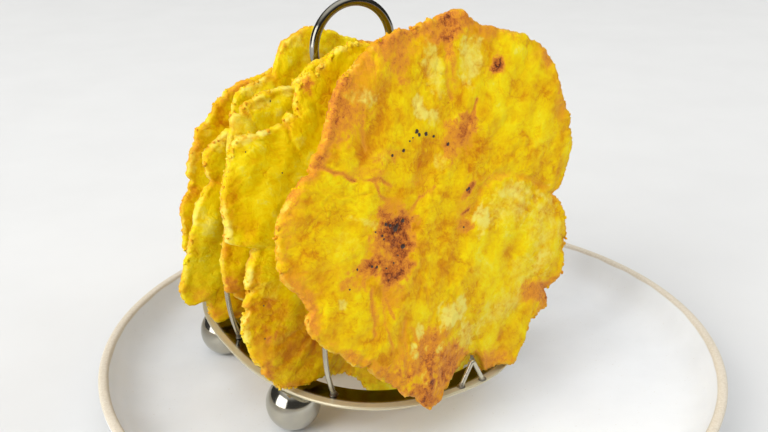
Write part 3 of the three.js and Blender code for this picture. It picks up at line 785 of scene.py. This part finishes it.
def fibre_place(piece, flat, spread, side):
    """Places where noise makes fibres that run out from the middle of the slice, as its flesh does."""
    offset = pushed(flat, spread, 3.5, 14.0, 45) - piece["grain"]
    reach = np.linalg.norm(offset, axis=1)
    turn = np.arctan2(offset[:, 1], offset[:, 0])
    width = 26 * np.sqrt(np.minimum(reach, 60) / 60)
    return np.column_stack([reach / 9.0, width * np.cos(turn), width * np.sin(turn)]) + 50 * side


def relief(piece, spread, angle, share, side):
    """Height of one face's lumps, fibres, cracks and crumbly border, in millimetres."""
    phase = piece["seed"] * 1.3 + side
    across, up = spread[:, 0], spread[:, 1]
    height = 0.35 * np.sin(across * 0.21 + phase) * np.sin(up * 0.19 - phase)
    height += 0.2 * np.sin(across * 0.47 - up * 0.31 + phase * 2)
    height += layers(spread, 31, (0.45, 10.0), (0.18, 4.5), (0.10, 2.4))
    streaks = np.column_stack([share * 4.5, 17 * np.cos(angle), 17 * np.sin(angle)])
    height += 0.16 * smooth(share, 0.1, 0.5) * noise(streaks + 9 * phase, 1.0, 34)
    height += 0.09 * noise(spread, 1.4, 35)
    cracked = smooth(np.abs(noise(spread, 6.0, 38)), 0.06, 0.0)
    height -= 0.26 * cracked * smooth(noise(spread, 15.0, 39), -0.2, 0.3)
    crumbly = smooth(share, 0.88, 1.0)
    return height + crumbly * (layers(spread, 36, (0.16, 2.4), (0.30, 1.1)) - 0.4)


def face_points(piece, outline, angle, share, side, marks):
    """Points and masks of one face, for directions and shares of the reach."""
    across, up = outline.spot(angle, share * (outline.reach(angle, share) - EDGE * share))
    flat = np.stack([across, up], 1)
    spread = noise_place(piece, flat, side)
    half = half_thickness(piece, share)
    height = half + relief(piece, spread, angle, share, side)
    seed = piece["seed"] * side
    browned = cover(flat, marks["browned"], seed)
    wavy = pushed(flat, spread, 0.9, 3.0, 41)
    for line, deep, width, brown in marks["creases"]:
        height -= deep * near_line(wavy, line, width)
        browned = np.maximum(browned, brown * near_line(wavy, line, 1.5 * width))
    edge_brown = piece["rim_browned"] * smooth(share, 0.93, 1.0) * (1.0 + 1.2 * noise(spread, 7.0, 43))
    browned = 1 - (1 - browned) * (1 - np.clip(edge_brown, 0, 1))
    tone = piece["tone"] + layers(spread, 51, (0.20, 12.0), (0.10, 6.0), (0.14, 4.5))
    # Painted shade: the flesh is painted deeper in the hollows of its relief and lighter on its lumps.
    tone += 0.16 * (height - half)
    for *patch, strength in marks["tones_and_painted_light"]:
        tone += math.copysign(1.0, strength) * cover(flat, [(*patch, abs(strength))], seed + 70)
    pale = cover(flat, marks["pale"], seed + 50, (1.25, 0.6))
    masks = dict(tone=tone, browned=browned, pale=pale, fibre=fibre_place(piece, flat, spread, side))
    return placed(piece, across, slab_depth(piece, across, up) + side * height, up), masks


def slice_parts(piece, outline, marks):
    """The mesh of a slice: two faces on bent grids, and a rounded, crumbly rim between them."""
    angle, share, quads, rim = disc_grid(piece["detail"])
    front, front_masks = face_points(piece, outline, angle, share, FRONT, marks[FRONT])
    back, back_masks = face_points(piece, outline, angle, share, BACK, marks[BACK])
    count = len(angle)
    rim_angle = angle[rim]
    outward = np.stack([np.cos(rim_angle), np.sin(rim_angle)], 1)
    middle = (front[rim] + back[rim]) / 2
    across_rim = placed(piece, outward[:, 0], 0 * rim_angle, outward[:, 1]) - placed(piece, 0.0, 0.0, 0.0)
    points, faces = [front, back], [quads, quads[:, ::-1] + count]
    masks = {name: [front_masks[name], back_masks[name]] for name in front_masks}
    previous, width = rim, len(rim)
    for step in range(1, EDGE_STEPS + 1):
        if step < EDGE_STEPS:
            lift = math.pi * (step / EDGE_STEPS - 0.5)
            torn = middle + across_rim * (EDGE * math.cos(lift))
            torn += (back[rim] - front[rim]) / 2 * math.sin(lift)
            torn += across_rim * (0.26 * noise(torn, 2.0, 61) + 0.42 * noise(torn, 0.85, 62))[:, None]
            points.append(torn)
            share_back = step / EDGE_STEPS
            for name in masks:
                value = front_masks[name][rim] * (1 - share_back) + back_masks[name][rim] * share_back
                if name == "pale":
                    value = value + 0.28 + 0.4 * noise(torn, 4.0, 63)
                masks[name].append(value)
            ring = 2 * count + (step - 1) * width + np.arange(width)
        else:
            ring = rim + count
        faces.append(np.stack([previous, ring, np.roll(ring, -1), np.roll(previous, -1)], 1))
        previous = ring
    return (np.concatenate(points), np.concatenate(faces),
            {name: np.concatenate(values) for name, values in masks.items()})


def surface_spot(piece, outline, across, up, side):
    """The point of a slice's face at that place across and up."""
    offset = np.array([across, up]) - outline.heart
    angle = np.array([math.atan2(offset[1], offset[0])])
    share = np.minimum(np.linalg.norm(offset) / outline.reach(angle, 1.0), 1.0)
    spread = noise_place(piece, [(across, up)], side)
    height = (half_thickness(piece, share) + relief(piece, spread, angle, share, side))[0]
    return placed(piece, across, slab_depth(piece, across, up) + side * height, up)


def rim_crumbs(piece, outline):
    """Small crisp flakes that stick out of the rim of a slice, in clusters."""
    rng = np.random.default_rng(500 + piece["seed"])
    half = half_thickness(piece, 1.0) - CRUMB_INSET
    crisp = piece["rim_browned"]
    crumbs = []
    for _ in range(piece["crumbs"]):
        middle = rng.uniform(-np.pi, np.pi)
        masks = dict(tone=piece["tone"] + rng.uniform(-0.25, 0.05), browned=crisp + rng.uniform(0.0, 0.25),
                     pale=rng.uniform(0.0, 0.5) * smooth(crisp, 0.12, 0.08))
        for i in range(rng.integers(2, 6)):
            angle = middle + rng.normal(0, 0.02)
            across, up = outline.spot(angle, outline.reach(angle, 1.0) - rng.uniform(0.25, 0.8))
            depth = slab_depth(piece, across, up) + half * rng.uniform(-0.9, 0.9)
            sizes = rng.uniform(0.3, 0.75) * rng.uniform(0.6, 1.3, 3)
            place = placed(piece, across, depth, up)
            ball, faces = lump(place, sizes, i, rough=0.6, rings=5, sides=8)
            if ball[:, 2].max() < cad_box[1][2] / MM:
                crumbs.append((ball, faces, dict(masks, fibre=ball * 0.7)))
    return crumbs


def add_slices(flesh, seed_skin):
    seeds, crumbs = [], []
    for number, piece in enumerate(SLICES, 1):
        outline = Outline(piece)
        marks = {FRONT: shown_marks(piece, outline), BACK: hidden_marks(piece, outline, BACK)}
        points, faces, masks = slice_parts(piece, outline, marks)
        add_piece(f"fried_slice_{number}", points, faces, flesh, [piece["name"]], masks)
        crumbs += rim_crumbs(piece, outline)
        for side in (FRONT, BACK):
            for i, (across, up, radius) in enumerate(marks[side]["seeds"]):
                spot = surface_spot(piece, outline, across, up, side)
                seeds.append((*lump(spot, radius * SEED_SHAPE, i, rough=0.3, rings=6, sides=10), {}))
    points, faces, masks = join(seeds)
    add_piece("plantain_seeds", points, faces, seed_skin, (), masks)
    points, faces, masks = join(crumbs)
    add_piece("rim_crumbs", points, faces, flesh, (), masks)


# ---------------------------------------------------------------- the rack

BAND_POWER = 2.42                      # 2 would be an ellipse
BAND_WIDTH = 10
BAND_ROUNDING = 0.6
BAND_WORN = 0.15                       # how far the outer edge of the band's top is worn down
BAND_SIDES = 256
TOP_INSETS = (8.5, 6.0, 4.0, 3.0, 2.2, 1.6, 1.2, 0.9)
FEET = 4
FOOT_SIDES = 64
FOOT_FLAT = 0.985                      # share of a ball's radius at which it is flat underneath
NECK_FROM, NECK_RISE = 1.2, 0.37       # where a neck of weld starts on the ball, in radians, and its rise
NECK_REACH, NECK_TAPER = 2.6, 1.2      # its reach where it starts, and how much narrower it ends
HOOPS = 5
HOOP_RISE = 1.2                        # a hoop is an upright oval, taller than it is wide
HOOP_STEPS = 160
STOP_STEPS = 81
STOP_BEND = 0.012                      # rounds the tip of a stop's V
RING_STEPS, RING_SIDES = 160, 32
WIRE_SIDES = 20
WIRE_PAINTED_REFLECTION = 0.42                      # how pale and dull the thin wires are painted, a painted reflection of the plate and light, next to the band's edge
WELD_SWELL = 0.35                      # how much thicker a wire is where it is welded
HOOP_BEAD = (0.1, 1.6, 1.4, 0.5)       # a bead of weld: its lift and its half sizes
STOP_BEAD = (0.0, 1.5, 1.4, 0.6)
RING_BEAD = (-0.1, 3.4, 1.5, 0.9)
RING_PAINTED_DARKNESS = 0.5                       # how dark the ring is painted, a painted reflection of the dim room, next to the band's inside


def oval(angle, inset):
    """Point of the band's oval, drawn in from its outer edge by inset."""
    middle_x, middle_y = (band_low + band_high)[:2] / 2
    half_width, half_length = (band_high - band_low)[:2] / 2
    across, along = np.cos(angle), np.sin(angle)
    total = (np.abs(across) / (half_width - inset)) ** BAND_POWER
    total = total + (np.abs(along) / (half_length - inset)) ** BAND_POWER
    reach = total ** (-1 / BAND_POWER)
    return np.stack([middle_x + reach * across, middle_y + reach * along], -1)


def band_section(thickness):
    """Inset and height of the band's section: out along its top, then round its four rounded edges."""
    near, far = BAND_ROUNDING, BAND_WIDTH - BAND_ROUNDING
    low, high = BAND_ROUNDING, thickness - BAND_ROUNDING
    section = [(inset, thickness) for inset in TOP_INSETS]
    for inset, height, start in ((near, high, 0.5), (near, low, 1.0), (far, low, 1.5), (far, high, 2.0)):
        turn = math.pi * (start + np.linspace(0, 0.5, 5))
        section += zip(inset + BAND_ROUNDING * np.cos(turn), height + BAND_ROUNDING * np.sin(turn))
    return np.array(section)


def add_band(steel):
    thickness = band_high[2] - band_low[2]
    section = band_section(thickness)
    inset, height = section.T
    worn = BAND_WORN * smooth(inset, 2.0, 0.6) * smooth(height, 0.5 * thickness, thickness)
    angle = np.linspace(0, 2 * np.pi, BAND_SIDES, endpoint=False)
    points = np.concatenate([np.column_stack([oval(angle, reach), np.full(BAND_SIDES, level)])
                             for reach, level in zip(inset, band_low[2] + height - worn)])
    faces = [face[::-1] for face in ring_faces(len(section), BAND_SIDES, True)]
    # The inner part of the band's top is painted dark, a painted reflection of the dim room, and its outer
    # edge pale, a painted reflection of the plate and light.
    smoke = smooth(inset, 2.2, 3.3) * smooth(height, 0.5 * thickness, 0.8 * thickness)
    masks = {"smoke": np.repeat(smoke, BAND_SIDES), "edge": np.repeat(smooth(inset, 3.1, 2.1), BAND_SIDES)}
    add_piece("oval_band", points, faces, steel, ["rack_band"], masks)


def add_feet(steel):
    for number in range(1, FEET + 1):
        node = f"rack_foot_{number}"
        low, high = node_box(node)
        centre, radius = (low + high) / 2, (high[2] - low[2]) / 2
        up = np.linspace(-math.pi / 2, math.pi / 2, 49)
        heights = centre[2] + np.maximum(np.sin(up), -FOOT_FLAT) * (radius + GAP)
        neck = np.where(up > NECK_FROM, NECK_REACH - NECK_TAPER * (up - NECK_FROM) / NECK_RISE, 0.02)
        points = lathe(zip(np.maximum(radius * np.cos(up), neck), heights), FOOT_SIDES, centre[:2])
        weld = smooth(points[:, 2], high[2] - 0.9, high[2])
        add_piece(f"ball_foot_{number}", points, tube_faces(len(up), FOOT_SIDES), steel, [node],
                  {"weld": weld})


def weld_bead(place, bead, seed, masks):
    return (*lump(np.add(place, (0, 0, bead[0])), bead[1:], seed), dict(masks, weld=1.0))


def add_welded_wire(name, node, line, radii, weld, bead, seed, steel):
    """A wire with a bead of weld at each end. weld says where along the line the wire is welded."""
    # The wire's edge mask paints it pale: a painted reflection of the plate and light.
    parts = [(*wire(line, radii, WIRE_SIDES), {"weld": np.repeat(weld, WIRE_SIDES), "edge": WIRE_PAINTED_REFLECTION})]
    parts += [weld_bead(end, bead, seed + i, {"edge": 0.0}) for i, end in enumerate((line[0], line[-1]))]
    points, faces, masks = join(parts)
    add_piece(name, points, faces, steel, [node], masks)


def add_hoops(steel):
    for number in range(1, HOOPS + 1):
        low, high = node_box(f"rack_hoop_{number}")
        wire_radius = (high[1] - low[1]) / 2
        half_width = (high[0] - low[0]) / 2 - wire_radius
        half_height = HOOP_RISE * half_width
        centre_z = high[2] - wire_radius - half_height
        spread = math.asin((centre_z - BAND_TOP) / half_height)
        angle = np.linspace(-spread, math.pi + spread, HOOP_STEPS)
        centre_x, place_y = (low[0] + high[0]) / 2, (low[1] + high[1]) / 2
        line = np.stack([centre_x + half_width * np.cos(angle), np.full(HOOP_STEPS, place_y),
                         centre_z + half_height * np.sin(angle)], 1)
        from_end = half_height * np.minimum(angle + spread, math.pi + spread - angle)
        weld = smooth(from_end, 2.2, 0.4)
        radii = wire_radius * (1 + WELD_SWELL * weld ** 2)
        add_welded_wire(f"wire_hoop_{number}", f"rack_hoop_{number}", line, radii, weld,
                        HOOP_BEAD, 3 * number, steel)


def add_ring(steel):
    low, high = node_box("rack_ring")
    rod = (high[1] - low[1]) / 2
    radius = (high[0] - low[0]) / 2 - rod
    centre = (low + high) / 2
    ring = circle(RING_STEPS)
    line = np.stack([centre[0] + radius * ring[:, 0], np.full(RING_STEPS, centre[1]),
                     centre[2] + radius * ring[:, 1]], 1)
    # The ring is painted dark all over: a painted reflection of the dim room.
    smoke = {"smoke": RING_PAINTED_DARKNESS}
    weld = np.repeat(smooth(ring[:, 1], -0.95, -0.995), RING_SIDES)
    rod_part = (*wire(line, np.full(RING_STEPS, rod), RING_SIDES, closed=True), dict(smoke, weld=weld))
    foot = weld_bead((centre[0], centre[1], low[2]), RING_BEAD, 7, smoke)
    points, faces, masks = join([rod_part, foot])
    add_piece("lifting_ring", points, faces, steel, ["rack_ring"], masks)


def add_stops(steel):
    for name, node in (("front_stop", "rack_stop_front"), ("back_stop", "rack_stop_back")):
        low, high = node_box(node)
        radius = (high[1] - low[1]) / 2
        middle, place_y = (low[0] + high[0]) / 2, (low[1] + high[1]) / 2
        half, peak = (high[0] - low[0]) / 2 - 0.9 * radius, high[2] - radius
        share = np.linspace(-1, 1, STOP_STEPS)
        bent = np.sqrt(share ** 2 + STOP_BEND) / math.sqrt(1 + STOP_BEND)
        line = np.stack([middle + half * share, np.full(STOP_STEPS, place_y),
                         peak - (peak - BAND_TOP) * bent], 1)
        weld = smooth(np.abs(share), 0.82, 1.0)
        add_welded_wire(name, node, line, radius * (1 + WELD_SWELL * weld), weld, STOP_BEAD, 40, steel)


# ---------------------------------------------------------------- the plate

PLATE_SIDES = 240
CORNER_CUTS = 4                        # how often the corners of its section are cut, to round them


def add_plate(stoneware):
    low, high = node_box("plate")
    rim, top = high[0], high[2]
    # reach and height, from the middle of the underside out over the foot and the wall, and back in
    profile = np.array([
        (0, 1.6), (66, 1.6), (68, 0), (77, 0), (79, 1.2), (100, 4.4), (110, 9.5), (rim - 1, 15),
        (rim, top - 0.9), (rim - 1, top), (rim - 3, top), (rim - 3.7, top - 0.8), (109.4, 13.5),
        (105.6, 9), (99, 6.5), (90, 6), (0, 6),
    ])
    for _ in range(CORNER_CUTS):
        near_first = profile[:-1] * 0.75 + profile[1:] * 0.25
        near_second = profile[:-1] * 0.25 + profile[1:] * 0.75
        cut = np.stack([near_first, near_second], 1).reshape(-1, 2)
        profile = np.concatenate([profile[:1], cut, profile[-1:]])
    rings = len(profile) - 2
    points = lathe(profile[1:-1], PLATE_SIDES)
    points[:, 2] -= np.abs(0.12 * noise(points * (1, 1, 0.2), 30.0, 71) * smooth(points[:, 2], 8, 18))
    points = np.concatenate([points, [[0, 0, profile[0, 1]], [0, 0, profile[-1, 1]]]])
    bottom, middle, last = len(points) - 2, len(points) - 1, (rings - 1) * PLATE_SIDES
    faces = ring_faces(rings, PLATE_SIDES, False)
    faces += [[(i + 1) % PLATE_SIDES, i, bottom] for i in range(PLATE_SIDES)]
    faces += [[last + i, last + (i + 1) % PLATE_SIDES, middle] for i in range(PLATE_SIDES)]
    reach = np.hypot(points[:, 0], points[:, 1])
    wobble = 0.35 * noise(points * (1, 1, 0), 9.0, 72)
    clay = smooth(points[:, 2] + wobble, top - 1.5, top - 0.9) * smooth(reach, rim - 5.5, rim - 5)
    add_piece("glazed_plate", points, faces, stoneware, ["plate"], {"clay": clay})


# ---------------------------------------------------------------- camera, light and floor

CAMERA_PLACE = (-175.1, -263.2, 201.7)
CAMERA_AZIMUTH = -31.8                 # degrees; 0 looks along +Y
CAMERA_ELEVATION = 22.72
CAMERA_LENS = 44.53                    # on a 36 mm sensor


def add_camera():
    data = bpy.data.cameras.new("camera")
    data.sensor_width = 36.0
    data.lens = CAMERA_LENS
    data.clip_start = 0.01
    camera = bpy.data.objects.new("camera", data)
    bpy.context.collection.objects.link(camera)
    camera.location = [value * MM for value in CAMERA_PLACE]
    camera.rotation_euler = (math.radians(90 - CAMERA_ELEVATION), 0, math.radians(CAMERA_AZIMUTH))
    bpy.context.scene.camera = camera


# Each soft light's azimuth, where 0 is on the -Y side and 90 on the +X side, its elevation in degrees,
# its distance and size in metres, its power and its tint.
SOFTBOXES = {
    "key_left": (-85, 30, 3.4, 2.6, 120, (1.0, 0.99, 0.97)),
    "front_top": (-20, 60, 3.6, 3.1, 33, (1, 1, 1)),
    "fill_right": (70, 40, 3.8, 2.8, 46, (1, 1, 1)),
    "overhead": (0, 90, 5.0, 7.8, 84, (1, 1, 1)),
    "window": (-81, 14, 1.5, 1.2, 15, (1, 1, 1)),
}
LIGHT_AIM = 0.05                       # height in metres that the lights look at
ROOM, ROOM_STRENGTH = (0.97, 0.985, 1.0, 1), 0.40
CEILING, BACKDROP = (1.0, 0.98, 0.93, 1), (0.9, 0.9, 0.895, 1)
FLOOR_SIZE, FLOOR_STEPS = 24 / MM, 9


def add_softbox(name, azimuth, elevation, distance, size, power, tint):
    """A square soft light. Only the window is mirrored in the steel, and it lights nothing else."""
    data = bpy.data.lights.new(name, "AREA")
    data.size = size
    data.energy = power
    data.color = tint
    light = bpy.data.objects.new(name, data)
    bpy.context.collection.objects.link(light)
    turn, rise = math.radians(azimuth), math.radians(elevation)
    light.location = (distance * math.sin(turn) * math.cos(rise), -distance * math.cos(turn) * math.cos(rise),
                      distance * math.sin(rise) + LIGHT_AIM)
    light.rotation_euler = (math.radians(90 - elevation), 0, turn)
    light.visible_glossy = name == "window"
    light.visible_diffuse = name != "window"


def add_world():
    """Pale for the camera and dim for the rest. Polished steel mirrors a dark room with a bright ceiling."""
    world = bpy.data.worlds.new("studio")
    bpy.context.scene.world = world
    world.use_nodes = True
    nodes, links = world.node_tree.nodes, world.node_tree.links
    room, ceiling, backdrop = nodes["Background"], *(nodes.new("ShaderNodeBackground") for _ in range(2))
    for background, shade in ((room, ROOM), (ceiling, CEILING), (backdrop, BACKDROP)):
        background.inputs["Color"].default_value = shade
    room.inputs["Strength"].default_value = ROOM_STRENGTH
    way = nodes.new("ShaderNodeTexCoord")
    axes = nodes.new("ShaderNodeSeparateXYZ")
    links.new(way.outputs["Generated"], axes.inputs[0])
    brighter = nodes.new("ShaderNodeMapRange")
    brighter.interpolation_type = "SMOOTHSTEP"
    for socket, value in zip(brighter.inputs[1:5], (0.5, 1.0, 0.06, 1.4)):
        socket.default_value = value
    links.new(axes.outputs["Z"], brighter.inputs[0])
    links.new(brighter.outputs[0], ceiling.inputs["Strength"])
    ray = nodes.new("ShaderNodeLightPath")
    shown = room
    for kind, background in (("Is Glossy Ray", ceiling), ("Is Camera Ray", backdrop)):
        mix = nodes.new("ShaderNodeMixShader")
        links.new(ray.outputs[kind], mix.inputs[0])
        links.new(shown.outputs[0], mix.inputs[1])
        links.new(background.outputs[0], mix.inputs[2])
        shown = mix
    links.new(shown.outputs[0], nodes["World Output"].inputs["Surface"])


def add_floor(material):
    side = np.linspace(-FLOOR_SIZE / 2, FLOOR_SIZE / 2, FLOOR_STEPS) * MM
    points = [(x, y, 0.0) for x in side for y in side]
    corners = [i * FLOOR_STEPS + j for i in range(FLOOR_STEPS - 1) for j in range(FLOOR_STEPS - 1)]
    faces = [[i, i + FLOOR_STEPS, i + FLOOR_STEPS + 1, i + 1] for i in corners]
    mesh = bpy.data.meshes.new("floor")
    mesh.from_pydata(points, [], faces)
    mesh.materials.append(material)
    floor = bpy.data.objects.new("floor", mesh)
    bpy.context.collection.objects.link(floor)


add_camera()
add_world()
for softbox, values in SOFTBOXES.items():
    add_softbox(softbox, *values)
add_floor(floor_material())
bpy.context.scene.view_settings.view_transform = "Standard"

steel = steel_material()
add_plate(stoneware_material())
add_band(steel)
add_feet(steel)
add_hoops(steel)
add_ring(steel)
add_stops(steel)
add_slices(plantain_material(), seed_material())
